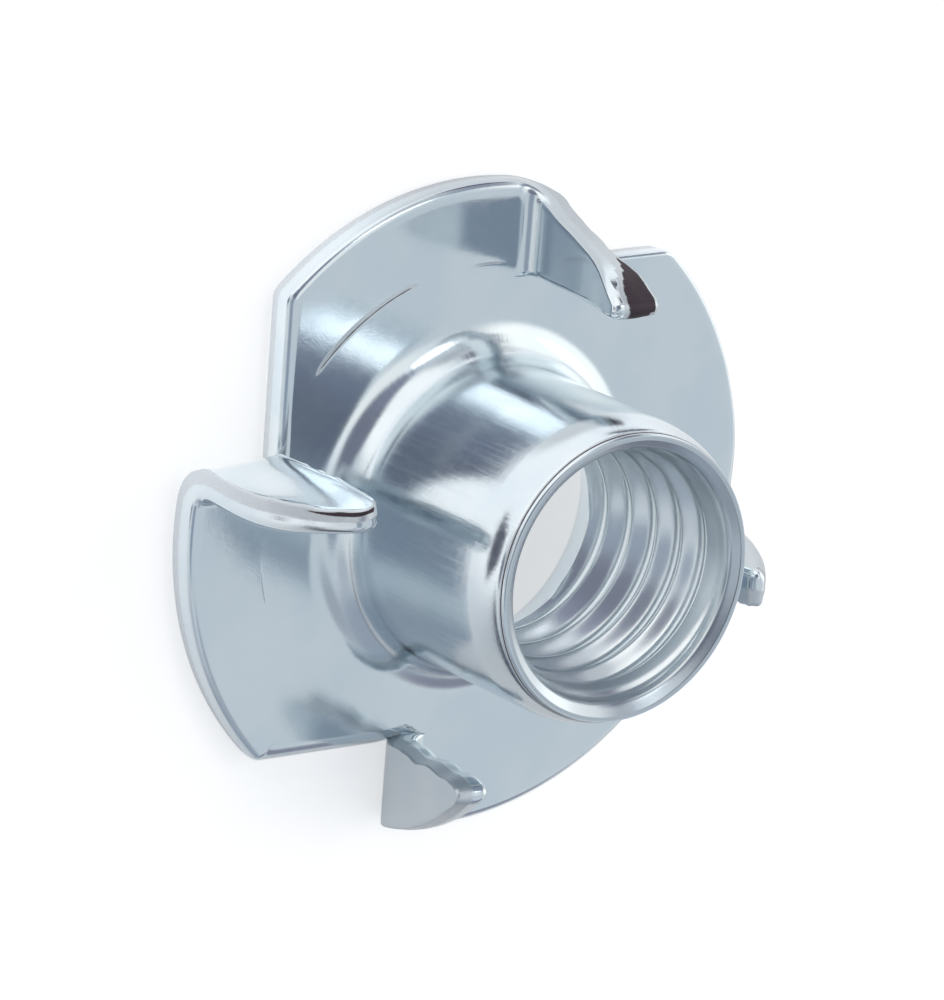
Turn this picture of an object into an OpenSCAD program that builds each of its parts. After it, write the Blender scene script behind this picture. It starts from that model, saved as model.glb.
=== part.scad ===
// Four-prong tee nut: a threaded barrel drawn up from a round sheet flange,
// with the flange slit in four places and each slit corner folded up as a prong.
// The back face of the flange lies on z = 0 and the barrel points along +Z.

/* [Flange] */
// Diameter of the round flange
flange_d = 22; // [20:0.5:26]
// Thickness of the sheet that the nut is pressed from
sheet_t = 1.1; // [0.8:0.05:1.4]
// Rounding of the flange rim on the barrel side, left by the blanking punch
rim_round = 0.3; // [0.1:0.05:0.35]
// Rounding of the flange rim on the back
rim_back_round = 0.12; // [0.05:0.01:0.2]
// Where the faint crease lies between the barrel root and the rim, as a share of the way out
crease_share = 0.39; // [0.2:0.01:0.6]
// Height that the flange gains between the crease and the barrel root
crease_rise = 0.12; // [0.02:0.01:0.25]

/* [Barrel] */
// Height of the nut from the back of the flange to the lip
height = 9.8; // [8.5:0.1:14]
// Wall of the barrel outside the thread
barrel_wall = 1.15; // [1:0.05:1.5]
// Fillet where the barrel rises from the flange
root_round = 1.4; // [0.8:0.1:1.8]
// Radius of the curve that draws the barrel in towards its lip
nose_round = 3.3; // [2.4:0.1:6]
// Height over which the barrel draws in
nose_h = 1.6; // [0.8:0.1:1.8]
// Rounding of the outer edge of the lip
lip_round = 0.22; // [0.1:0.02:0.3]

/* [Bore] */
// Nominal diameter of the thread
thread_d = 8; // [6:0.5:10]
// Pitch of the thread
thread_pitch = 1.25; // [0.75:0.25:1.5]
// How far the lead-in at the lip opens past the nominal thread diameter
lead_in = 0.9; // [0.2:0.1:1]
// Depth of the lead-in at the lip
lead_in_h = 1.6; // [0.6:0.1:2]
// Radius of the funnel that the drawing leaves at the back of the bore
funnel_round = 2.4; // [2:0.1:2.6]
// Length of the short cone between the funnel and the thread
runout_h = 0.5; // [0.3:0.1:1]

/* [Prongs] */
// Number of prongs around the flange
prong_count = 4; // [3:1:4]
// Distance from the centre of the nut to the line of each slit, as a share of the flange radius
slit_share = 0.7; // [0.66:0.01:0.8]
// Distance from the centre line to the outer face of each prong
prong_offset = 2.7; // [2.3:0.1:3.4]
// Inside radius of the fold that turns each prong up
bend_round = 0.5; // [0.3:0.05:0.8]
// Share of the sheet thickness, from the inside of a fold, at which its length stays true
neutral_share = 0.35; // [0.3:0.01:0.5]
// Rounding of the tip of each prong
tip_round = 0.22; // [0.1:0.02:0.6]
// Rounding of the corner where each slit meets the rim
corner_round = 0.7; // [0.3:0.1:1]

/* [Hidden] */
$fn = 96;
// Facets of the large round surfaces
round_facets = 200;
// Reach of the cutting shapes past the metal
past = 2;
// Extra radius that lets a rounding cross the edges it blends instead of just touching them
ease = 0.002;

flange_r = flange_d / 2;
barrel_r = thread_d / 2 + barrel_wall;
// Bore left for the thread, one pitch under its nominal diameter
bore_r = (thread_d - thread_pitch) / 2;
mouth_r = (thread_d + lead_in) / 2;
lead_in_z = height - lead_in_h;

// Front face of the sheet where it meets the root of the barrel
root_z = sheet_t + crease_rise;
root_r = barrel_r + root_round;
crease_r = root_r + crease_share * (flange_r - root_r);

// Funnel at the back of the bore
throat_r = root_r - funnel_round;
runout_z = funnel_round + runout_h;

// Nose: the barrel follows an arc from nose_z until it runs into the lip rounding
nose_z = height - nose_h;
nose_x = barrel_r - nose_round;
lip_z = height - lip_round;
lip_x = nose_x + sqrt(pow(nose_round - lip_round, 2) - pow(lip_z - nose_z, 2));
lip_meet_z = nose_z + (lip_z - nose_z) * nose_round / (nose_round - lip_round);

slit_offset = slit_share * flange_r;

// Fold: the flat lobe ends at fold_x and the prong's outer face lies at prong_offset
fold_x = prong_offset - sheet_t - bend_round;
fold_z = sheet_t + bend_round;
fold_length = (bend_round + neutral_share * sheet_t) * PI / 2;
// The prong's outer edge is the flange rim folded up, an arc of the same radius round arc_z
arc_z = fold_z - fold_x - fold_length;
tip_y = slit_offset + tip_round;
tip_rise = sqrt(pow(flange_r - tip_round, 2) - pow(tip_y, 2));
tip_scale = flange_r / (flange_r - tip_round);

// Corner where the slit meets the rim
corner_y = slit_offset - corner_round;
corner_x = sqrt(pow(flange_r - corner_round, 2) - pow(corner_y, 2));
corner_scale = flange_r / (flange_r - corner_round);

// Section of the flange and the outside of the barrel, with the bore still filled
module solid_section() {
    // Flat sheet out to the rim
    difference() {
        square([flange_r, sheet_t]);
        translate([flange_r - rim_round, sheet_t - rim_round])
            outer_corner(rim_round);
        translate([flange_r - rim_back_round, rim_back_round]) mirror([0, 1])
            outer_corner(rim_back_round);
    }
    // Slight rise from the crease to the root of the barrel
    polygon([[0, 0], [crease_r, 0], [crease_r, sheet_t], [root_r, root_z], [0, root_z]]);
    // Root fillet
    difference() {
        square([root_r, root_z + root_round]);
        translate([root_r, root_z + root_round]) circle(r = root_round);
    }
    // Barrel wall up to the nose
    square([barrel_r, nose_z]);
    // Nose, drawn in along an arc and closed by the lip rounding
    intersection() {
        translate([nose_x, nose_z]) circle(r = nose_round);
        translate([0, nose_z]) square([barrel_r, lip_meet_z - nose_z]);
    }
    translate([lip_x, lip_z]) circle(r = lip_round);
    square([lip_x, height]);
}

// What a square corner loses to a rounding of radius r centred on the origin
module outer_corner(r) {
    difference() {
        square(r + past);
        circle(r = r);
    }
}

// Section of the bore: funnel, runout cone, cylinder for the thread, and lead-in
module bore_section() {
    // Funnel, the outside of the bend that the drawing leaves
    difference() {
        translate([0, -past]) square([root_r, funnel_round + past]);
        translate([root_r, funnel_round]) circle(r = funnel_round);
    }
    polygon([
        [0, funnel_round], [throat_r, funnel_round], [bore_r, runout_z],
        [bore_r, lead_in_z], [mouth_r, height], [mouth_r, height + past], [0, height + past]
    ]);
}

// One slit and its missing corner, cut through the whole sheet
module notch() {
    translate([fold_x, slit_offset]) square(flange_r + past);
    // Rounds the corner left between the slit and the rim
    difference() {
        polygon([
            [corner_x, corner_y], [corner_x, slit_offset],
            [corner_x + past, slit_offset + past],
            [corner_x * corner_scale, corner_y * corner_scale]
        ]);
        translate([corner_x, corner_y]) circle(r = corner_round + ease);
    }
}

// Prong: the fold and the blade above it, cut off along the folded rim
module prong() {
    intersection() {
        translate([0, flange_r + past, 0]) rotate([90, 0, 0])
            linear_extrude(height = flange_r + past - slit_offset) prong_section();
        rotate([90, 0, 90]) linear_extrude(height = prong_offset + past) prong_side();
    }
}

// Section across the prong: quarter ring for the fold, then the upright blade
module prong_section() {
    intersection() {
        difference() {
            translate([fold_x, fold_z]) circle(r = bend_round + sheet_t);
            translate([fold_x, fold_z]) circle(r = bend_round);
        }
        translate([fold_x, 0]) square([bend_round + sheet_t, fold_z]);
    }
    translate([fold_x + bend_round, fold_z]) square([sheet_t, flange_r]);
}

// Side view of the prong: straight slit edge, rim arc and rounded tip
module prong_side() {
    difference() {
        intersection() {
            translate([0, arc_z]) circle(r = flange_r, $fn = round_facets);
            translate([slit_offset, 0]) square(flange_r);
        }
        difference() {
            polygon([
                [tip_y, arc_z + tip_rise], [slit_offset, arc_z + tip_rise],
                [slit_offset, arc_z + flange_r + past],
                [tip_y * tip_scale, arc_z + tip_rise * tip_scale]
            ]);
            translate([tip_y, arc_z + tip_rise]) circle(r = tip_round + ease);
        }
    }
}

module tee_nut() {
    color("lightsteelblue") difference() {
        union() {
            difference() {
                rotate_extrude($fn = round_facets) solid_section();
                for (i = [0 : prong_count - 1]) rotate(i * 360 / prong_count)
                    translate([0, 0, -past]) linear_extrude(height = height + past) notch();
            }
            for (i = [0 : prong_count - 1]) rotate(i * 360 / prong_count) prong();
        }
        rotate_extrude($fn = round_facets) bore_section();
    }
}

tee_nut();
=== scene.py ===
import math

import bpy
from mathutils import Matrix, Vector


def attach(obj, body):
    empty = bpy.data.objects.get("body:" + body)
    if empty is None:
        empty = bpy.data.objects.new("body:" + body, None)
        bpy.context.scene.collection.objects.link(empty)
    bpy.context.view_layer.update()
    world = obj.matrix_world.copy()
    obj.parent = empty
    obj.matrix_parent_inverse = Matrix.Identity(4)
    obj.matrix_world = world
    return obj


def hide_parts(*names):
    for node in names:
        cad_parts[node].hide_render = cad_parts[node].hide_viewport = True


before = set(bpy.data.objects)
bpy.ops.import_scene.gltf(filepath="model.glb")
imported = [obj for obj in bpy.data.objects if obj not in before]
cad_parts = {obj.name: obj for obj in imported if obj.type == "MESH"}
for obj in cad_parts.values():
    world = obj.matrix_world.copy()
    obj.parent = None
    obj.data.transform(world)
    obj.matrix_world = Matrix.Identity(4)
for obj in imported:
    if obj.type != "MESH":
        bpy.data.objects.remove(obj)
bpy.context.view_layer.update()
mm = 0.001
quarter = math.pi / 2
weldGap = 0.0001                                           # mm
print("frame loaded:", ", ".join(sorted(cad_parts)))


def deselectAll():
    if bpy.context.object and bpy.context.object.mode != "OBJECT":
        bpy.ops.object.mode_set(mode="OBJECT")
    bpy.ops.object.select_all(action="DESELECT")


def pickOnly(*objects):
    deselectAll()
    for each in objects:
        each.select_set(True)
    bpy.context.view_layer.objects.active = objects[0]


def drawWire(name, points):
    # one point, then extruded from corner to corner
    deselectAll()
    bpy.ops.mesh.primitive_plane_add(size=mm)
    wire = bpy.context.object
    wire.name = name
    bpy.ops.object.mode_set(mode="EDIT")
    bpy.ops.mesh.merge(type="CENTER")
    bpy.ops.transform.translate(value=points[0] * mm)
    at = points[0]
    for point in points[1:]:
        bpy.ops.mesh.extrude_vertices_move(TRANSFORM_OT_translate={"value": (point - at) * mm})
        at = point
    bpy.ops.object.mode_set(mode="OBJECT")
    return wire


def weld(piece):
    # doubles merged, then every face turned outward
    pickOnly(piece)
    bpy.ops.object.mode_set(mode="EDIT")
    bpy.ops.mesh.select_all(action="SELECT")
    bpy.ops.mesh.remove_doubles(threshold=weldGap * mm)
    bpy.ops.mesh.dissolve_degenerate(threshold=weldGap * mm / 10)
    bpy.ops.mesh.select_all(action="SELECT")
    bpy.ops.mesh.normals_make_consistent(inside=False)
    bpy.ops.object.mode_set(mode="OBJECT")


def arc(centre, radius, start, end, steps):
    # points of an arc in the section, angles in degrees, without the first
    turns = [math.radians(start + (end - start) * i / steps) for i in range(1, steps + 1)]
    return [(centre[0] + radius * math.cos(a), centre[1] + radius * math.sin(a)) for a in turns]


def line(start, end, steps):
    # points of a straight run in the section, without the first
    return [(start[0] + (end[0] - start[0]) * i / steps, start[1] + (end[1] - start[1]) * i / steps)
            for i in range(1, steps + 1)]


def smooth(x):
    # 0 to 1 with level ends
    x = min(max(x, 0.0), 1.0)
    return x * x * (3 - 2 * x)


def lerp(a, b, f):
    return a + (b - a) * f


def softCorner(x, soft):
    # 0 below 0 and x above it, with the corner between them rounded
    return (x + math.sqrt(x * x + soft * soft)) / 2


def blendMax(a, b, soft):
    return (a + b + math.sqrt((a - b) ** 2 + soft * soft)) / 2


def markCut(piece, values):
    # for the material: 0 on a plated face, 0.1 where an edge is burnished, 1 where it is broken,
    # and up to about 2 where it is torn; from about 1.55 up the zinc is painted near-black as shade,
    # there and on the crease scores and in the nose groove
    mark = piece.data.attributes.new("cut", "FLOAT", "POINT")
    for i, value in enumerate(values):
        mark.data[i].value = value


# the sheet and the barrel: sizes in mm, angles in degrees
nut = {
    "flangeR": 11.0, "sheet": 1.1, "barrelR": 5.15, "height": 9.8,
    "rootRound": 1.4, "funnelRound": 2.4,                  # barrel to sheet, in front and at the back
    "crease": 8.25, "creaseRise": 0.05, "creaseSoft": 0.03,
    "slit": 7.7, "foldX": 1.1,                             # a slit's distance from the axis, its start
    "cornerRound": 0.7,
    "toeR": 6.72, "webR": 6.9, "dip": 0.46,                # rings of points between root and slits
    "columns": 64, "innerRows": 4,                         # of faces round a quarter, inside the slits
    "smoothAngle": 50,
}
# each lobe: how far its slit edge is pushed out, die roll of its rim and of its slit edge, and
# where it is scored along the crease: from and to a share of its width, depth; a score is a faint
# groove with a dark line of painted shade along it
lobes = [
    {"spread": 0.0, "roll": 0.30, "slitRoll": 0.38,
     "scores": [(0.0, 0.15, 0.006), (0.26, 0.72, 0.012)]},
    {"spread": 0.20, "roll": 0.30, "slitRoll": 0.55, "scores": [(0.14, 0.30, 0.005)]},
    {"spread": 0.0, "roll": 0.30, "slitRoll": 0.38, "scores": []},
    {"spread": 0.28, "roll": 0.12, "slitRoll": 0.15, "scores": []},
]
# a score mark, a faint groove painted dark as shade: half width, length of its ends, the depth that is
# marked 1, and the highest mark
scoreAndShade = {"half": 0.05, "ends": 0.06, "markDepth": 0.0072, "markMax": 1.58}
# the sheared edges: roundings at the front and back, how far the broken part slopes in, the share
# of the wall above it, and over what length or share of the edge they change
edge = {
    "rimRound": 0.3, "rimBackRound": 0.12, "slitBackRound": 0.1,
    "slope": 0.05, "burnished": 0.45, "mark": 0.1,
    "startRun": 0.9, "rollShare": 0.15, "spreadRun": 2.0, "dipShare": 0.16,
}

slitStart = math.atan2(nut["slit"], nut["foldX"])          # angle at which each slit begins
slitStartR = math.hypot(nut["slit"], nut["foldX"])
rootR = nut["barrelR"] + nut["rootRound"]
rootZ = nut["sheet"] + nut["creaseRise"]


def frontZ(r):
    # height of the barrel side of the sheet: flat, then a faint crease and a rise to the root
    x = (nut["crease"] - r) / (nut["crease"] - rootR)
    soft = nut["creaseSoft"]
    return nut["sheet"] + nut["creaseRise"] * min(softCorner(x, soft) / softCorner(1, soft), 1.0)


def scored(r, s, k):
    # depth of the score marks at radius r, share s across lobe k
    across = math.exp(-((r - nut["crease"]) / scoreAndShade["half"]) ** 2)
    return across * sum(depth * smooth((s - begin) / scoreAndShade["ends"]) * smooth((end - s) / scoreAndShade["ends"])
                        for begin, end, depth in lobes[k]["scores"])


outlineSteps, cornerSteps = 400, 60
cornerCrowding = 4.5                                       # columns stand closer there
farAway = 9.0                                              # given as the distance to the slit's start


def lobeOutline(k):
    # outline of one lobe, finely: rim, rounded corner, slit; x, y, inward x and y, distance
    # from the start of the slit, share of slit in the edge, and how closely columns stand
    rim, corner, spread = nut["flangeR"], nut["cornerRound"], lobes[k]["spread"]
    across = nut["slit"] + spread - corner
    reach = math.sqrt((rim - corner) ** 2 - across ** 2)
    start, rimEnd = math.acos(nut["foldX"] / rim), math.atan2(reach, -across)
    path = []
    for i in range(outlineSteps + 1):
        a = lerp(start, rimEnd, i / outlineSteps)
        c, s = math.cos(a), math.sin(a)
        path.append((rim * c, rim * s, -c, -s, farAway, 0.0, 1.0))
    for i in range(1, cornerSteps + 1):
        a = lerp(rimEnd, math.pi, i / cornerSteps)
        c, s = math.cos(a), math.sin(a)
        path.append((corner * c - across, reach + corner * s, -c, -s, farAway, smooth(i / cornerSteps),
                     cornerCrowding))
    for i in range(1, outlineSteps + 1):
        y = lerp(reach, nut["foldX"], i / outlineSteps)
        x = -nut["slit"] - spread * smooth((y - nut["foldX"]) / edge["spreadRun"])
        path.append((x, y, 1.0, 0.0, y - nut["foldX"], 1.0, 1.0))
    return path


def spreadOutline(k):
    # the outline again, at one point for each column, closer together round the corner
    path = lobeOutline(k)
    run = [0.0]
    for a, b in zip(path, path[1:]):
        run.append(run[-1] + math.hypot(b[0] - a[0], b[1] - a[1]) * b[6])
    spread, i = [], 0
    for j in range(nut["columns"] + 1):
        want = run[-1] * j / nut["columns"]
        while i < len(run) - 2 and run[i + 1] < want:
            i += 1
        f = min(max((want - run[i]) / (run[i + 1] - run[i]), 0.0), 1.0)
        spread.append([lerp(path[i][c], path[i + 1][c], f) for c in range(6)])
    return spread


outlines = [spreadOutline(k) for k in range(4)]
roundRows = [22.5, 45.0, 67.5, 90.0]                       # degrees round the front edge
wallRows = [0.15, 0.3, 0.42, 0.5, 0.6, 0.8, 1.0]           # shares of the wall, downward
backRoundRows = [30.0, 60.0, 90.0]
# rows across the front and the back, some of them crowded along the crease: half the width of
# that band, and limits for where the lobe is narrow
faceRows = {"count": 19, "bandFirst": 3, "bandLast": 9, "bandHalf": 0.12,
            "halfMax": 0.1, "middleMin": 0.12, "middleMax": 0.5, "widthMin": 0.3}


def edgeRounds(j, k):
    # roundings of the front and back edge at column j; they fade out where the slit begins
    along, onSlit = outlines[k][j][4], outlines[k][j][5]
    fade = smooth(along / edge["startRun"])
    roll = lerp(edge["rimRound"], lobes[k]["roll"], smooth(j / nut["columns"] / edge["rollShare"]))
    return (lerp(roll, lobes[k]["slitRoll"], onSlit) * fade,
            lerp(edge["rimBackRound"], edge["slitBackRound"], onSlit) * fade, fade)


def webMiddle(j):
    # radius at which the inner and outer parts of the lobe meet, at column j
    s = j / nut["columns"]
    return slitStartR - nut["dip"] * smooth(s / edge["dipShare"]) * smooth((1 - s) / edge["dipShare"])


def faceShare(row, j, k):
    # how far out row stands at column j
    x, y = outlines[k][j][:2]
    first, last = faceRows["bandFirst"], faceRows["bandLast"]
    inner, outer = webMiddle(j), math.hypot(x, y)
    width = max(outer - inner, faceRows["widthMin"])
    middle = min(max((nut["crease"] - inner) / width, faceRows["middleMin"]), faceRows["middleMax"])
    half = min(faceRows["bandHalf"] / width, faceRows["halfMax"])
    if row <= first:
        return (middle - half) * row / first
    if row <= last:
        return middle - half + 2 * half * (row - first) / (last - first)
    return lerp(middle + half, 1.0, (row - last) / (faceRows["count"] - last))


lip = {
    "noseRound": 3.3, "noseH": 1.6, "outerRound": 0.22,    # the barrel draws in toward the lip
    "innerRound": 0.12, "innerR": 4.76,
    "chamfer": 28.0, "chamferLength": 0.38, "chamferRound": 0.22,
    "offCentre": 0.03, "offTurn": 235.0,                   # how far off centre it is, and which way
    "leadTurn": 68.0, "leadFootR": 4.20,                   # the steep cone below the chamfer
    # the groove round the nose: its depth, and its cut mark, which paints a dark line of shade in it
    "groove": 0.025, "grooveShade": 1.6,
    # round the nose, below the lip: degrees down, share of the groove's depth
    "grooveRows": ((0.4, 0.5), (0.8, 1.0), (1.3, 0.9), (1.8, 0.4), (2.4, 0.1)),
    # how far each row of the mouth follows the shift, upward
    "shifts": (0.0, 0.5, 1.0, 1.0, 1.0, 1.0, 1.0, 1.0, 0.8, 0.6, 0.4, 0.2),
}


def mouthPoints():
    # the cone, the rounded heel of the chamfer and the chamfer, upward
    tilt, turn = math.radians(lip["chamfer"]), math.radians(lip["leadTurn"])
    heelRound, length = lip["chamferRound"], lip["chamferLength"]
    ir, iz = lip["innerR"], nut["height"] - lip["innerRound"]
    brow = (ir - lip["innerRound"] * math.sin(tilt), iz + lip["innerRound"] * math.cos(tilt))
    heel = (brow[0] - length * math.cos(tilt), brow[1] - length * math.sin(tilt))
    hub = (heel[0] + heelRound * math.sin(tilt), heel[1] - heelRound * math.cos(tilt))
    coneTop = (hub[0] - heelRound * math.sin(turn), hub[1] + heelRound * math.cos(turn))
    coneFoot = (lip["leadFootR"], coneTop[1] - (coneTop[0] - lip["leadFootR"]) * math.tan(turn))
    points = [coneFoot] + line(coneFoot, coneTop, steps=2)
    points += arc(hub, heelRound, 90 + lip["leadTurn"], 90 + lip["chamfer"], steps=5)
    return points + line(heel, brow, steps=5)


def sectionRows():
    # the whole wall in section, from the top of the thread over the lip and round to its foot:
    # kind, value, radius and height in the blank
    mouth = mouthPoints()
    rows = [("mouth", shift, r, z) for shift, (r, z) in zip(lip["shifts"], mouth)]
    ir, iz = lip["innerR"], nut["height"] - lip["innerRound"]
    noseX, noseZ = nut["barrelR"] - lip["noseRound"], nut["height"] - lip["noseH"]
    lipZ = nut["height"] - lip["outerRound"]
    lipX = noseX + math.sqrt((lip["noseRound"] - lip["outerRound"]) ** 2 - (lipZ - noseZ) ** 2)
    meet = math.degrees(math.atan2(lipZ - noseZ, lipX - noseX))
    points = [mouth[-1]] + arc((ir, iz), lip["innerRound"], 90 + lip["chamfer"], 90, steps=3)
    points += line(points[-1], (lipX, nut["height"]), steps=1)
    points += arc((lipX, lipZ), lip["outerRound"], 90, meet, steps=7)
    rows += [("fixed", 0, r, z) for r, z in points]
    # the groove: a shallow dip, painted dark as shade by its cut mark
    for down, depth in lip["grooveRows"]:
        a, r = math.radians(meet - down), lip["noseRound"] - lip["groove"] * depth
        rows.append(("fixed", lip["grooveShade"] * depth,
                     noseX + r * math.cos(a), noseZ + r * math.sin(a)))
    points = arc((noseX, noseZ), lip["noseRound"], meet - lip["grooveRows"][-1][0], 0, steps=12)
    points += line(points[-1], (nut["barrelR"], rootZ + nut["rootRound"]), steps=14)
    points += arc((rootR, rootZ + nut["rootRound"]), nut["rootRound"], 180, 270, steps=20)
    points += [(r, frontZ(r)) for r in (nut["toeR"], nut["webR"])]
    rows += [("fixed", 0, r, z) for r, z in points]
    # from here to the back these only keep the rows apart, and lobePoint gives their places
    web, rim, count, inner = nut["webR"], nut["flangeR"], faceRows["count"], nut["innerRows"]
    front, back = edge["rimRound"], edge["rimBackRound"]
    rows += [("frontInner", i / inner, lerp(web, slitStartR, i / inner), frontZ(slitStartR))
             for i in range(1, inner + 1)]
    rows += [("front", i, lerp(slitStartR, rim - front, i / count), nut["sheet"])
             for i in range(1, count + 1)]
    rows += [("frontRound", a, rim - front + front * math.sin(math.radians(a)),
              nut["sheet"] - front + front * math.cos(math.radians(a))) for a in roundRows]
    rows += [("wall", f, rim, lerp(nut["sheet"] - front, back, f)) for f in wallRows]
    rows += [("backRound", a, rim - back + back * math.cos(math.radians(a)),
              back - back * math.sin(math.radians(a))) for a in backRoundRows]
    rows += [("back", i, lerp(slitStartR, rim - back, i / count), 0) for i in range(count - 1, -1, -1)]
    rows += [("backInner", i / inner, lerp(web, slitStartR, i / inner), 0)
             for i in range(inner - 1, -1, -1)]
    foot = [(nut["toeR"], 0), (rootR, 0)]
    foot += arc((rootR, nut["funnelRound"]), nut["funnelRound"], 270, 180, steps=20)
    return rows + [("fixed", 0, r, z) for r, z in foot], mouth[0][1]


def sheared(kind, value, top, front, back, slope):
    # inset, height and cut mark of a point on a sheared edge: rolled over at the front, then
    # burnished, then broken away at a slope
    mark = edge["mark"]
    if kind == "wall":
        broken = smooth((value - edge["burnished"]) / (1 - edge["burnished"]))
        return slope * broken, lerp(top - front, back, value), lerp(mark, 1, value)
    t = math.radians(value)
    if kind == "frontRound":
        return front * (1 - math.sin(t)), top - front * (1 - math.cos(t)), mark * math.sin(t)
    return slope + back * (1 - math.cos(t)), back * (1 - math.sin(t)), math.cos(t)


def lobePoint(kind, value, j, k):
    # a point of the flat lobe in the frame of the slit at its right-hand end, and its cut mark
    a = slitStart + quarter * j / nut["columns"]
    mid = webMiddle(j)
    x, y, nx, ny = outlines[k][j][:4]
    front, back, fade = edgeRounds(j, k)
    slope = edge["slope"] * fade
    if kind in ("frontInner", "backInner"):
        r = lerp(nut["webR"], mid, value)
        return Vector((r * math.cos(a), r * math.sin(a), frontZ(r) if kind == "frontInner" else 0.0)), 0
    if kind in ("front", "back"):
        inset = front if kind == "front" else slope + back
        share = faceShare(value, j, k)
        px = lerp(mid * math.cos(a), x + nx * inset, share)
        py = lerp(mid * math.sin(a), y + ny * inset, share)
        if kind == "back":
            return Vector((px, py, 0.0)), 0
        r = math.hypot(px, py)
        depth = scored(r, j / nut["columns"], k)
        # the score's cut mark paints a dark line of shade along the crease
        return Vector((px, py, frontZ(r) - depth)), min(depth / scoreAndShade["markDepth"], scoreAndShade["markMax"])
    inset, z, cut = sheared(kind, value, frontZ(math.hypot(x, y)), front, back, slope)
    return Vector((x + nx * inset, y + ny * inset, z)), cut * fade


def rowKey(r, z):
    # to 2 micrometres
    return round(r * 500), round(z * 500)


def makeLobes():
    # a quarter of the wall is spun from its section, and each copy's lobe gets its own edges
    rows, threadTop = sectionRows()
    columns, offTurn = nut["columns"], math.radians(lip["offTurn"])
    turn = Matrix.Rotation(slitStart, 3, "Z")
    lookup = {rowKey(r, z): (kind, value, r, z) for kind, value, r, z in rows}
    blank = drawWire("blankQuarter", [turn @ Vector((r, 0, z)) for _, _, r, z in rows])
    bpy.ops.object.mode_set(mode="EDIT")
    bpy.ops.mesh.select_all(action="SELECT")
    bpy.ops.mesh.spin(steps=columns, angle=-quarter, center=(0, 0, 0), axis=(0, 0, 1))
    bpy.ops.object.mode_set(mode="OBJECT")
    quarters = []
    for k in range(4):
        piece = blank.copy()
        piece.data = blank.data.copy()
        bpy.context.collection.objects.link(piece)
        swing = Matrix.Rotation(quarter * k, 3, "Z")
        cuts = []
        for v in piece.data.vertices:
            r, z = math.hypot(v.co.x, v.co.y) / mm, v.co.z / mm
            a = math.atan2(v.co.y, v.co.x)
            j = round(((a - slitStart) % (4 * quarter)) / quarter * columns) % (4 * columns)
            row = lookup.get(rowKey(r, z))
            if row is None:                                # rounded the other way
                row = min(rows, key=lambda each: (each[2] - r) ** 2 + (each[3] - z) ** 2)
            kind, value, br, bz = row
            at = slitStart + quarter * j / columns
            if kind == "mouth":                            # the chamfer was cut off centre
                shift = lip["offCentre"] * value * math.cos(at + quarter * k - offTurn)
                br, bz = br - shift, bz - shift * math.tan(math.radians(lip["chamfer"]))
            if kind in ("fixed", "mouth"):
                point = Vector((br * math.cos(at), br * math.sin(at), bz))
                cut = value if kind == "fixed" else 0
            else:
                point, cut = lobePoint(kind, value, j, k)
            v.co = (swing @ point) * mm
            cuts.append(cut)
        markCut(piece, cuts)
        quarters.append(piece)
    bpy.data.objects.remove(blank)
    return quarters, threadTop


# each prong as it came out of the press: the angle it is folded by, how far its rim side leans
# in, how much longer it got, the radius of its blunt point, by what share the point is swollen,
# how far that is pushed over, by what share the metal is thinned, die roll of its rim edge, waves
# in its slit edge, how much of the wall is torn at its root and at its point, which is painted
# near-black as shade, share of its width that its waist loses
prongs = [
    {"fold": 95.0, "twist": -0.04, "stretch": 1.15, "blunt": 0.38, "swell": 0.5, "push": -0.04,
     "thin": 0.2, "roll": 0.18, "wave": 0.03, "tornShade": (0.0, 1.12), "waist": 0.2},
    {"fold": 88.7, "twist": 0.56, "stretch": 1.27, "blunt": 0.60, "swell": -0.22, "push": -0.05,
     "thin": 0.0, "roll": 0.44, "wave": 0.02, "tornShade": (0.0, 0.34), "waist": 0.0},
    {"fold": 83.0, "twist": -0.05, "stretch": 1.01, "blunt": 0.36, "swell": 0.05, "push": 0.10,
     "thin": 0.08, "roll": 0.40, "wave": 0.10, "tornShade": (0.0, 0.0), "waist": 0.0},
    {"fold": 89.5, "twist": 0.10, "stretch": 1.05, "blunt": 0.36, "swell": 0.12, "push": 0.0,
     "thin": 0.05, "roll": 0.40, "wave": 0.03, "tornShade": (0.0, 0.0), "waist": 0.0},
]
# the bend, and over how many mm of a prong those changes come in
bend = {"radius": 0.5, "neutral": 0.35, "waistRun": 2.5, "waistEnd": 6.2, "thinRun": 1.6,
        "swellStart": 2.6, "swellRun": 2.6, "leanAcross": 2.3, "leanRun": 3.0,
        "pushStart": 3.2, "pushRun": 2.2}
bendLength = (bend["radius"] + bend["neutral"] * nut["sheet"]) * quarter


def foldPoint(x, y, h, prong):
    # where a point of the flat blank goes when its corner is folded up
    if x <= nut["foldX"]:
        return Vector((x, y, h))
    run, middle = x - nut["foldX"], nut["sheet"] / 2
    y -= ((y - nut["slit"]) * prong["waist"] * smooth(run / bend["waistRun"])
          * smooth((bend["waistEnd"] - run) / bend["waistRun"]))
    reach = max(run - bendLength, 0.0) * prong["stretch"]
    turned = math.radians(prong["fold"]) * min(run / bendLength, 1.0)
    swollen = (prong["swell"] + prong["thin"]) * smooth((reach - bend["swellStart"]) / bend["swellRun"])
    thickness = 1 - prong["thin"] * smooth(run / bend["thinRun"]) + swollen
    h = middle + (h - middle) * thickness
    radius = bend["radius"] + nut["sheet"] - h
    px = nut["foldX"] + radius * math.sin(turned) + reach * math.cos(turned)
    pz = nut["sheet"] + bend["radius"] - radius * math.cos(turned) + reach * math.sin(turned)
    px -= prong["twist"] * smooth((y - nut["slit"]) / bend["leanAcross"]) * smooth(run / bend["leanRun"])
    px += prong["push"] * smooth((reach - bend["pushStart"]) / bend["pushRun"])
    return Vector((px, y, pz))


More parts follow.
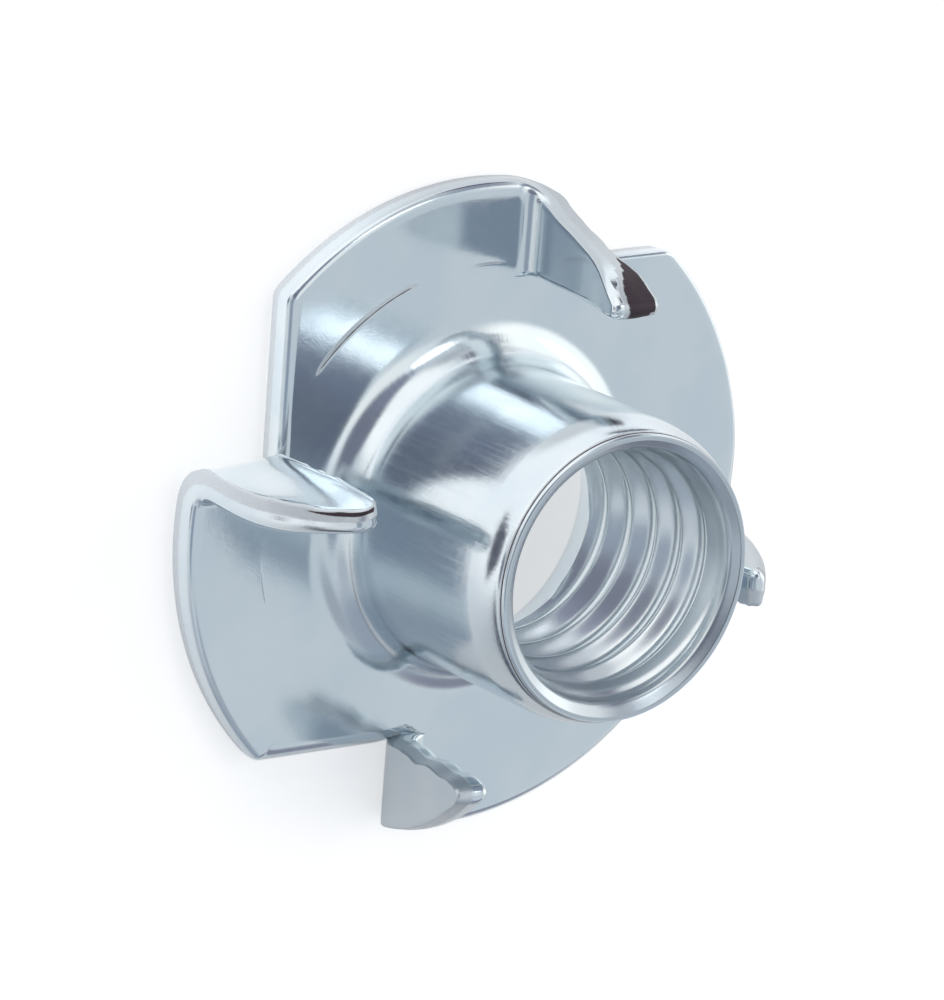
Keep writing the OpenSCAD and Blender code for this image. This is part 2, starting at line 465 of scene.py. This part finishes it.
blade = {
    "bendColumns": 12, "straightColumns": 16, "tipColumns": 10,
    "slitRound": 0.228, "slitRun": 0.8, "rollRun": 2.0,    # roundings come in over these lengths
    "tipRound": 0.3, "tipBackRound": 0.12, "tipShare": 0.6,   # no more than this share of the blunting
    "wave": (2.6, 0.7, 1.1),                               # per mm, offset, and per mm of its swell
    # the torn part of a prong's wall, painted near-black as shade: where it starts and over what it
    # comes in, its cut mark, how softly it comes in, and the least share that counts
    "tornStart": 0.52, "tornRun": 0.2,                     # as shares of the columns
    "tornShadeMark": 1.3, "tornSoft": 0.4, "tornLeast": 0.05,
    # the burr: height, then its mean, its swing and two waves, and the length it comes in over
    "burr": 0.09, "burrMean": 0.6, "burrSwing": 0.25, "burrWaves": (7.3, 2, 17.1), "burrRun": 1.6,
}


def bladeColumns(prong):
    # pairs of points along a prong, on its rim and on its slit edge, that meet at its tip:
    # x, y, inward x and y, front and back rounding, for each of the two
    rim, slit, blunt, start = nut["flangeR"], nut["slit"], prong["blunt"], nut["foldX"]
    rimBack, slitFront, slitBack = edge["rimBackRound"], blade["slitRound"], edge["slitBackRound"]
    tipFront, tipBack = min(blade["tipRound"], blunt * blade["tipShare"]), blade["tipBackRound"]
    tipY = slit + blunt
    tipX = math.sqrt((rim - blunt) ** 2 - tipY ** 2)
    rimTurn = math.atan2(tipY, tipX)
    apex = (rimTurn - quarter) / 2
    bendEnd = start + bendLength
    steps = blade["bendColumns"]
    spots = [(lerp(start, bendEnd, i / steps),) * 2 for i in range(steps + 1)]
    steps = blade["straightColumns"]
    spots += [(lerp(bendEnd, rim * math.cos(rimTurn), i / steps), lerp(bendEnd, tipX, i / steps))
              for i in range(1, steps + 1)]
    columns = []
    perMm, offset, swellPerMm = blade["wave"]
    for xRim, xSlit in spots:
        yRim = math.sqrt(rim * rim - xRim * xRim)
        begin = smooth((xSlit - start) / blade["slitRun"])
        rolled = lerp(edge["rimRound"], prong["roll"], smooth((xRim - start) / blade["rollRun"]))
        wave = prong["wave"] * begin * math.sin(perMm * xSlit + offset) * math.sin(swellPerMm * xSlit)
        columns.append(((xRim, yRim, -xRim / rim, -yRim / rim, rolled, rimBack, 1.0),
                        (xSlit, slit + wave, 0.0, 1.0, slitFront * begin, slitBack * begin, begin)))
    for i in range(1, blade["tipColumns"] + 1):
        f = i / blade["tipColumns"]
        pair = []
        for turn, front, back in ((rimTurn, prong["roll"], rimBack), (-quarter, slitFront, slitBack)):
            a = lerp(turn, apex, f)
            c, s = math.cos(a), math.sin(a)
            pair.append((tipX + blunt * c, tipY + blunt * s, -c, -s,
                         lerp(front, tipFront, f), lerp(back, tipBack, f), 1.0))
        columns.append(tuple(pair))
    return columns


slitKinds = {"slitWall": "wall", "slitFrontRound": "frontRound", "slitBackRound": "backRound"}


def bladePoint(kind, value, pair, tornShade):
    # a point of the flat prong and its cut mark
    rim, slit = pair
    if kind in ("front", "back"):
        ends = []
        for x, y, nx, ny, front, back, fade in (slit, rim):
            inset = front if kind == "front" else edge["slope"] * fade + back
            ends.append((x + nx * inset, y + ny * inset))
        x, y = (lerp(ends[0][c], ends[1][c], value) for c in range(2))
        return x, y, frontZ(math.hypot(x, y)) if kind == "front" else 0.0, 0.0
    side = slit if kind.startswith("slit") else rim
    x, y, nx, ny, front, back, fade = side
    name = slitKinds.get(kind, kind)
    inset, z, cut = sheared(name, value, frontZ(math.hypot(x, y)), front, back, edge["slope"] * fade)
    # a torn wall gets a cut mark high enough to be painted near-black as shade
    if name == "wall" and tornShade > blade["tornLeast"]:
        cut += blade["tornShadeMark"] * smooth((value - 1 + tornShade) / blade["tornSoft"])
    if name == "backRound":                                # a ragged burr
        perX, perY, fine = blade["burrWaves"]
        waves = math.sin(perX * x + perY * y) + math.sin(fine * x)
        ragged = blade["burrMean"] + blade["burrSwing"] * waves
        ragged *= smooth((x - nut["foldX"]) / blade["burrRun"])
        z -= blade["burr"] * fade * ragged * math.sin(math.radians(value * 2))
    return x + nx * inset, y + ny * inset, z, cut * fade


def makeProng(k):
    # a grid is wrapped round the prong: its columns run to the tip, its rows go once round
    prong = prongs[k]
    columns = bladeColumns(prong)
    shares = [faceShare(row, 0, k) for row in range(faceRows["count"] + 1)]
    loop = [("front", s) for s in shares]
    loop += [("frontRound", a) for a in roundRows] + [("wall", f) for f in wallRows]
    loop += [("backRound", a) for a in backRoundRows] + [("back", s) for s in shares[-2::-1]]
    loop += [("slitBackRound", a) for a in backRoundRows[-2::-1] + [0.0]]
    loop += [("slitWall", f) for f in wallRows[-2::-1] + [0.0]]
    loop += [("slitFrontRound", a) for a in roundRows[-2::-1]]
    deselectAll()
    bpy.ops.mesh.primitive_grid_add(x_subdivisions=len(columns) - 1, y_subdivisions=len(loop), size=2)
    piece = bpy.context.object
    piece.name = "prong%d" % k
    swing = Matrix.Rotation(quarter * k, 3, "Z")
    cuts = []
    for v in piece.data.vertices:
        i = round((v.co.x + 1) / 2 * (len(columns) - 1))
        m = round((v.co.y + 1) / 2 * len(loop)) % len(loop)
        tornShade = lerp(*prong["tornShade"], smooth((i / len(columns) - blade["tornStart"]) / blade["tornRun"]))
        x, y, h, cut = bladePoint(*loop[m], columns[i], tornShade)
        v.co = (swing @ foldPoint(x, y, h, prong)) * mm
        cuts.append(cut)
    markCut(piece, cuts)
    return piece


thread = {
    "rootR": 4.03, "crestR": 3.45, "pitch": 1.25, "start": 1.925, "turn": 26.0,
    "crestHalf": 0.05, "flank": 0.40, "soft": 0.18,
    # it widens toward the lip: by how much, what share of that at the root, from which height
    "open": 0.35, "openRoot": 0.5, "openStart": 2.5, "openRun": 6.5,
    # height of the runout, over what the thread fades at its foot and top, how softly it is cut off
    "runoutH": 0.5, "footRun": 0.12, "topRun": 0.05, "blend": 0.05,
    "turns": 8,
    # heights of the profile's points from the middle of the root to the middle of the crest
    "profile": [0, 0.085, 0.165, 0.205, 0.265, 0.345, 0.425, 0.505, 0.555, 0.595, 0.625],
}


def threadRadius(z, a):
    # radius of the thread: a rounded crest, a flank and a broad root
    phase = (z - thread["start"]) / thread["pitch"] - (math.degrees(a) + thread["turn"]) / 360
    off = abs((phase - math.floor(phase)) - 0.5) * thread["pitch"]
    x = (off - thread["crestHalf"]) / thread["flank"]
    rise = softCorner(x, thread["soft"]) - softCorner(x - 1, thread["soft"])
    wider = thread["open"] * smooth((z - thread["openStart"]) / thread["openRun"])
    return lerp(thread["crestR"] + wider, thread["rootR"] + wider * thread["openRoot"], rise)


def makeThread(threadTop):
    # one turn's profile is screwed up the bore, then held inside the runout and the lead-in
    foot, throat, pitch = nut["funnelRound"], rootR - nut["funnelRound"], thread["pitch"]
    slope = math.tan(math.radians(lip["leadTurn"]))
    half = thread["profile"]
    offsets = half + [pitch - o for o in half[-2::-1]]
    turn = Matrix.Rotation(slitStart, 3, "Z")
    start = thread["start"] + pitch * (math.degrees(slitStart) + thread["turn"]) / 360
    while start > foot - pitch:                            # a root of the thread, below the foot
        start -= pitch
    wire = drawWire("threadTurn", [turn @ Vector((thread["crestR"], 0, start + o)) for o in offsets])
    pickOnly(wire)
    screw = wire.modifiers.new("turns", "SCREW")
    screw.axis = "Z"
    screw.angle = 2 * math.pi
    screw.screw_offset = pitch * mm
    screw.iterations = thread["turns"]
    screw.steps = screw.render_steps = 4 * nut["columns"]
    screw.use_merge_vertices = False
    screw.use_smooth_shade = False
    bpy.ops.object.modifier_apply(modifier=screw.name)
    for v in wire.data.vertices:
        a = math.atan2(v.co.y, v.co.x)
        j = round(((a - slitStart) % (2 * math.pi)) / quarter * nut["columns"])
        a = slitStart + quarter * j / nut["columns"]
        z = min(max(v.co.z / mm, foot), threadTop)
        cone = lip["leadFootR"] + (z - threadTop) / slope
        runout = throat - (z - foot) * (throat - thread["crestR"]) / thread["runoutH"]
        limit = max(cone, runout)
        fade = smooth((z - foot) / thread["footRun"]) * smooth((threadTop - z) / thread["topRun"])
        r = lerp(limit, blendMax(threadRadius(z, a), limit, thread["blend"]), fade)
        v.co = Vector((r * math.cos(a), r * math.sin(a), z)) * mm
    markCut(wire, [0.0] * len(wire.data.vertices))
    weld(wire)
    return wire


quarters, threadTop = makeLobes()
print("lobes made")
blades = [makeProng(k) for k in range(4)]
print("prongs folded")
bore = makeThread(threadTop)
print("thread cut")
pickOnly(*quarters, *blades, bore)
bpy.ops.object.join()
teeNut = bpy.context.object
teeNut.name = "teeNutBody"
weld(teeNut)
pickOnly(teeNut)
bpy.ops.object.shade_smooth_by_angle(angle=math.radians(nut["smoothAngle"]))
bpy.ops.object.mode_set(mode="EDIT")
bpy.ops.mesh.select_mode(type="EDGE")
bpy.ops.mesh.select_all(action="DESELECT")
bpy.ops.mesh.select_non_manifold()
bpy.ops.object.mode_set(mode="OBJECT")
print("nut joined, open edges:", sum(e.select for e in teeNut.data.edges),
      "triangles:", sum(len(p.vertices) - 2 for p in teeNut.data.polygons))


class Sock:
    # one output socket, with arithmetic that adds the Math node for it
    def __init__(self, graph, socket):
        self.graph, self.socket = graph, socket

    def math(self, operation, *others):
        return self.graph.add("ShaderNodeMath", {"operation": operation}, [self, *others])

    def after(self, operation, other):
        return self.graph.add("ShaderNodeMath", {"operation": operation}, [other, self])

    def __add__(self, other): return self.math("ADD", other)
    def __sub__(self, other): return self.math("SUBTRACT", other)
    def __mul__(self, other): return self.math("MULTIPLY", other)
    def __truediv__(self, other): return self.math("DIVIDE", other)
    def __radd__(self, other): return self.math("ADD", other)
    def __rmul__(self, other): return self.math("MULTIPLY", other)
    def __rsub__(self, other): return self.after("SUBTRACT", other)
    def __rtruediv__(self, other): return self.after("DIVIDE", other)


class Graph:
    # the nodes of one material, or of the world
    def __init__(self, owner):
        owner.use_nodes = True
        self.tree = owner.node_tree
        self.tree.nodes.clear()

    def node(self, kind, settings=None, inputs=None):
        made = self.tree.nodes.new(kind)
        for name, value in (settings or {}).items():
            setattr(made, name, value)
        pairs = inputs.items() if isinstance(inputs, dict) else enumerate(inputs or [])
        for key, value in pairs:
            if isinstance(value, Sock):
                self.tree.links.new(value.socket, made.inputs[key])
            else:
                made.inputs[key].default_value = value
        return made

    def add(self, kind, settings=None, inputs=None, output=0):
        return Sock(self, self.node(kind, settings, inputs).outputs[output])

    def parts(self, vector):
        # x, y and z of a vector
        axes = self.node("ShaderNodeSeparateXYZ", {}, [vector])
        return [Sock(self, axes.outputs[c]) for c in range(3)]

    def ramp(self, value, low, high, start=0.0, end=1.0):
        return self.add("ShaderNodeMapRange", {"interpolation_type": "SMOOTHSTEP"},
                        [value, low, high, start, end])

    def mix(self, factor, a, b):
        return self.add("ShaderNodeMix", {"data_type": "RGBA"}, {0: factor, 6: a, 7: b}, 2)

    def noise(self, vector, scale, detail, rough):
        return self.add("ShaderNodeTexNoise", {}, {"Vector": vector, "Scale": scale, "Detail": detail,
                                                   "Roughness": rough})


def rgb(r, g, b):
    return (r, g, b, 1.0)


# bright zinc: colours and roughness, noises as scale per mm, detail and roughness, and pairs of
# values between which a mask comes in
zinc = {
    "base": rgb(0.69, 0.745, 0.775), "cool": rgb(0.64, 0.71, 0.755), "cut": rgb(0.60, 0.64, 0.67),
    # the last colour is near-black painted shade, for torn walls, crease scores and the nose groove
    "tapped": rgb(0.74, 0.79, 0.82), "faced": rgb(0.50, 0.55, 0.59), "tornShade": rgb(0.07, 0.055, 0.065),
    "rough": 0.115, "cutRough": 0.34, "tornRough": 0.5,
    "speckRough": 0.035, "cloudRough": 0.03, "drawnRough": 0.06, "tappedRough": 0.08,
    "drawn": (7.0, 4.0, 0.6), "drawnLong": 0.07,           # marks of the drawing die up the barrel
    "cloud": (0.35, 3.0, 0.5), "grain": (14.0, 3.0, 0.6), "speck": (2.6, 4.0, 0.6),
    "outside": (6.4, 5.3), "inside": (4.6, 5.0),           # radius of the barrel's face
    "bore": (4.78, 4.68), "boreFoot": (2.0, 3.0), "chamfer": (4.24, 4.3),
    "clouded": (0.35, 0.65), "cloudRise": (0.3, 0.7), "speckRise": (0.4, 0.75), "drawnRise": (0.4, 0.7),
    "broken": (0.55, 0.68), "tearShade": (1.55, 1.75),          # cut mark; from the second pair up it is painted near-black shade
    "brokenSpeck": 0.12, "brokenGrain": 0.1, "tearShadeSpeck": 0.25, "tearShadeGrain": 0.35,   # its ragged border
    "grainBump": 0.25, "tappedLess": 0.2, "speckBump": 0.35, "drawnBump": 0.6, "brokenBump": 2.0,
    "bumpStrength": 0.3, "bumpDepth": 0.00002,
}


def makeZinc():
    material = bpy.data.materials.new("zincPlate")
    g = Graph(material)
    place = g.add("ShaderNodeTexCoord", output="Object")
    inMm = g.add("ShaderNodeMapping", {}, {"Vector": place, "Scale": (1000, 1000, 1000)})
    x, y, z = g.parts(inMm)
    radius = (x * x + y * y).math("SQRT")
    barrelR = nut["barrelR"]
    around = g.add("ShaderNodeCombineXYZ", {}, [x / radius * barrelR, y / radius * barrelR,
                                                z * zinc["drawnLong"]])
    drawn = g.noise(around, *zinc["drawn"])
    onBarrel = g.ramp(radius, *zinc["outside"]) * g.ramp(radius, *zinc["inside"])
    cloud, grain, speck = (g.noise(inMm, *zinc[name]) for name in ("cloud", "grain", "speck"))
    cut = g.add("ShaderNodeAttribute", {"attribute_name": "cut"}, {}, 2)
    broken = g.ramp(cut + speck * zinc["brokenSpeck"] + grain * zinc["brokenGrain"], *zinc["broken"])
    colour = g.mix(g.ramp(cloud, *zinc["clouded"]), zinc["base"], zinc["cool"])
    colour = g.mix(broken, colour, zinc["cut"])
    tapped = g.ramp(radius, *zinc["bore"]) * g.ramp(z, *zinc["boreFoot"])
    machined = g.mix(g.ramp(radius, *zinc["chamfer"]), zinc["tapped"], zinc["faced"])
    colour = g.mix(tapped, colour, machined)
    # painted shade: near-black where the cut mark is highest, on torn walls, crease scores and the nose
    # groove
    tornShade = g.ramp(cut + speck * zinc["tearShadeSpeck"] + grain * zinc["tearShadeGrain"], *zinc["tearShade"])
    colour = g.mix(tornShade, colour, zinc["tornShade"])
    rough = zinc["rough"] + g.ramp(speck, *zinc["speckRise"]) * zinc["speckRough"]
    rough = rough + g.ramp(cloud, *zinc["cloudRise"]) * zinc["cloudRough"]
    rough = rough + onBarrel * g.ramp(drawn, *zinc["drawnRise"]) * zinc["drawnRough"]
    rough = rough + broken * (zinc["cutRough"] - zinc["rough"]) + tapped * zinc["tappedRough"]
    rough = rough + tornShade * (zinc["tornRough"] - zinc["cutRough"])
    height = grain * (zinc["grainBump"] - tapped * zinc["tappedLess"]) + speck * zinc["speckBump"]
    height = height + onBarrel * drawn * zinc["drawnBump"] + broken * grain * zinc["brokenBump"]
    bump = g.add("ShaderNodeBump", {}, {"Strength": zinc["bumpStrength"], "Distance": zinc["bumpDepth"],
                                        "Height": height})
    shader = g.add("ShaderNodeBsdfPrincipled", {}, {"Base Color": colour, "Metallic": 1.0,
                                                    "Roughness": rough, "Normal": bump})
    g.node("ShaderNodeOutputMaterial", {}, {"Surface": shader})
    return material


teeNut.data.materials.clear()
teeNut.data.materials.append(makeZinc())
print("zinc mixed")


# the floor: its colour, how bright it is seen, and how bright the zinc mirrors it as painted light that
# only reflections see, places in m
ground = {
    "size": 3, "under": 0.02, "colour": rgb(0.83, 0.815, 0.80), "seen": 0.46,
    # across the floor, from where to where its painted glow changes, and from how bright to how bright
    "sideX": 0.34, "sideY": 0.94, "side": (-0.012, 0.012, 0.04, 0.60),
    # distances between which painted light brightens it toward the nut, or a painted shadow darkens it
    # toward one spot, and how much
    "rings": [(0.016, 0.009, 0.12), (0.006, 0.004, 0.25)],
    "shadeAt": (0.002, 0.014, 0), "shade": (0.009, 0.004, 0.4),
}


def makePaper():
    material = bpy.data.materials.new("paper")
    g = Graph(material)
    path = g.node("ShaderNodeLightPath")
    place = g.add("ShaderNodeTexCoord", output="Object")
    x, y = g.parts(place)[:2]
    # painted light in the floor's reflections: brighter to one side and toward the nut, and a painted
    # shadow at one spot
    mirrored = g.ramp(y * ground["sideY"] - x * ground["sideX"], *ground["side"])
    near = g.add("ShaderNodeVectorMath", {"operation": "LENGTH"}, [place], 1)
    for low, high, gain in ground["rings"]:
        mirrored = mirrored + g.ramp(near, low, high) * gain
    low, high, loss = ground["shade"]
    behind = g.add("ShaderNodeVectorMath", {"operation": "DISTANCE"}, [place, ground["shadeAt"]], 1)
    mirrored = mirrored - g.ramp(behind, low, high) * loss
    rays = [Sock(g, path.outputs["Is %s Ray" % kind]) for kind in ("Camera", "Transmission", "Glossy")]
    bright = rays[0].math("MAXIMUM", rays[1]) * ground["seen"] + rays[2] * mirrored
    matt = g.add("ShaderNodeBsdfDiffuse", {}, {"Color": ground["colour"]})
    white = g.add("ShaderNodeEmission", {}, {"Color": rgb(1, 1, 1), "Strength": 1.0})
    black = g.add("ShaderNodeEmission", {}, {"Color": rgb(0, 0, 0), "Strength": 0.0})
    glow = g.add("ShaderNodeMixShader", {}, [bright, black, white])
    both = g.add("ShaderNodeAddShader", {}, [matt, glow])
    g.node("ShaderNodeOutputMaterial", {}, {"Surface": both})
    return material


deselectAll()
bpy.ops.mesh.primitive_plane_add(size=ground["size"], location=(0, 0, -ground["under"] * mm))
floor = bpy.context.object
floor.name = "floor"
floor.data.materials.append(makePaper())

# dark cards lying on the paper, outside the view and seen only as reflections: azimuth, then
# distance, width and depth in mm
cards = {
    "cardBeside": (168, 46, 20, 42),
    "cardBelow": (-105, 132, 150, 200),
    "cardBehind": (58, 50, 16, 40),
}
cardHeight, cardCuts, cardColour = 0.3, 3, rgb(0.16, 0.16, 0.20)
darkCard = bpy.data.materials.new("darkCard")
g = Graph(darkCard)
matt = g.add("ShaderNodeBsdfDiffuse", {}, {"Color": cardColour})
g.node("ShaderNodeOutputMaterial", {}, {"Surface": matt})
for name, (azimuth, distance, width, depth) in cards.items():
    deselectAll()
    a = math.radians(azimuth)
    at = Vector((math.cos(a) * distance, math.sin(a) * distance, cardHeight)) * mm
    bpy.ops.mesh.primitive_plane_add(size=mm, location=at, rotation=(0, 0, a))
    card = bpy.context.object
    card.name = name
    bpy.ops.object.mode_set(mode="EDIT")
    bpy.ops.mesh.select_all(action="SELECT")
    bpy.ops.transform.resize(value=(depth, width, 1), orient_type="LOCAL")
    bpy.ops.mesh.subdivide(number_cuts=cardCuts)
    bpy.ops.object.mode_set(mode="OBJECT")
    card.visible_camera = card.visible_diffuse = card.visible_shadow = False
    card.data.materials.append(darkCard)
print("floor and cards laid")


def toward(azimuth, elevation):
    a, e = math.radians(azimuth), math.radians(elevation)
    return Vector((math.cos(a) * math.cos(e), math.sin(a) * math.cos(e), math.sin(e)))


sky = {"level": rgb(0.90, 0.92, 0.93), "top": rgb(0.70, 0.75, 0.80), "rise": (0.0, 0.85)}
# patches of the room: azimuth, elevation, inner and outer half angle, colour
zones = [
    (70, 77, 12, 24, rgb(1.08, 1.10, 1.10)),
    (118, 5, 30, 45, rgb(1.32, 1.31, 1.29)),
    (74, 27, 5, 12, rgb(0.60, 0.62, 0.66)),
    (-96, 8, 20, 44, rgb(0.40, 0.45, 0.53)),
    (-55, 18, 8, 20, rgb(0.30, 0.31, 0.38)),
    (-166, 47, 10, 20, rgb(0.36, 0.41, 0.49)),
    (137, 57, 17, 29, rgb(0.22, 0.235, 0.30)),
    (104, 52, 7, 15, rgb(0.26, 0.28, 0.37)),
    (15, 22, 22, 34, rgb(1.40, 1.40, 1.37)),
    (59, 8, 6, 14, rgb(0.14, 0.13, 0.20)),
    (52, 26, 4, 13, rgb(0.34, 0.37, 0.44)),
    (48, 38, 4, 12, rgb(0.34, 0.37, 0.45)),
    (-179, 6, 8, 13, rgb(0.22, 0.24, 0.30)),
    (-138, 18, 6, 18, rgb(0.56, 0.60, 0.66)),
    (-98, 50, 7, 18, rgb(0.46, 0.50, 0.56)),
]
# azimuth, elevation, distance in mm, width, height, brightness
lamps = [(67, 51, 350, 126, 88, 1.5), (14, 20, 350, 90, 150, 0.6)]

world = bpy.data.worlds.new("studio")
bpy.context.scene.world = world
g = Graph(world)
direction = g.add("ShaderNodeTexCoord", output="Generated")
room = g.mix(g.ramp(g.parts(direction)[2], *sky["rise"]), sky["level"], sky["top"])
for azimuth, elevation, inner, outer, tint in zones:
    along = g.add("ShaderNodeVectorMath", {"operation": "DOT_PRODUCT"},
                  [direction, tuple(toward(azimuth, elevation))], 1)
    zone = g.ramp(along, math.cos(math.radians(outer)), math.cos(math.radians(inner)))
    room = g.mix(zone, room, tint)
light = g.add("ShaderNodeBackground", {}, {"Color": room, "Strength": 1.0})
g.node("ShaderNodeOutputWorld", {}, {"Surface": light})
for azimuth, elevation, distance, width, tall, bright in lamps:
    deselectAll()
    aim = toward(azimuth, elevation)
    bpy.ops.object.light_add(type="AREA", location=aim * distance * mm)
    lamp = bpy.context.object
    lamp.rotation_euler = aim.to_track_quat("Z", "Y").to_euler()
    lamp.data.shape = "ELLIPSE"
    lamp.data.size, lamp.data.size_y = width * mm, tall * mm
    lamp.data.energy = bright * math.pi * quarter / 2 * width * tall * mm * mm
    lamp.visible_camera = False
print("studio lit")

# the camera's three directions, its distance from the nut and offsets in mm, its lens
shot = {
    "right": (0.8128, 0.0692, 0.5785), "up": (0.1081, 0.9577, -0.2665),
    "back": (-0.5724, 0.2792, 0.7710),
    "distance": 260.0, "across": -0.71, "along": 0.08, "lens": 301.5, "sensor": 36, "clip": (0.01, 10),
}
right, up, back = (Vector(shot[name]).normalized() for name in ("right", "up", "back"))
spot = back * shot["distance"] - right * shot["across"] - up * shot["along"]
deselectAll()
bpy.ops.object.camera_add(location=spot * mm)
camera = bpy.context.object
camera.rotation_euler = Matrix((right, up, back)).transposed().to_euler()
camera.data.sensor_fit = "HORIZONTAL"
camera.data.sensor_width = shot["sensor"]
camera.data.lens = shot["lens"]
camera.data.clip_start, camera.data.clip_end = shot["clip"]
bpy.context.scene.camera = camera
bpy.context.scene.view_settings.view_transform = "Standard"
print("camera set")

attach(teeNut, "root")
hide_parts("tee_nut")
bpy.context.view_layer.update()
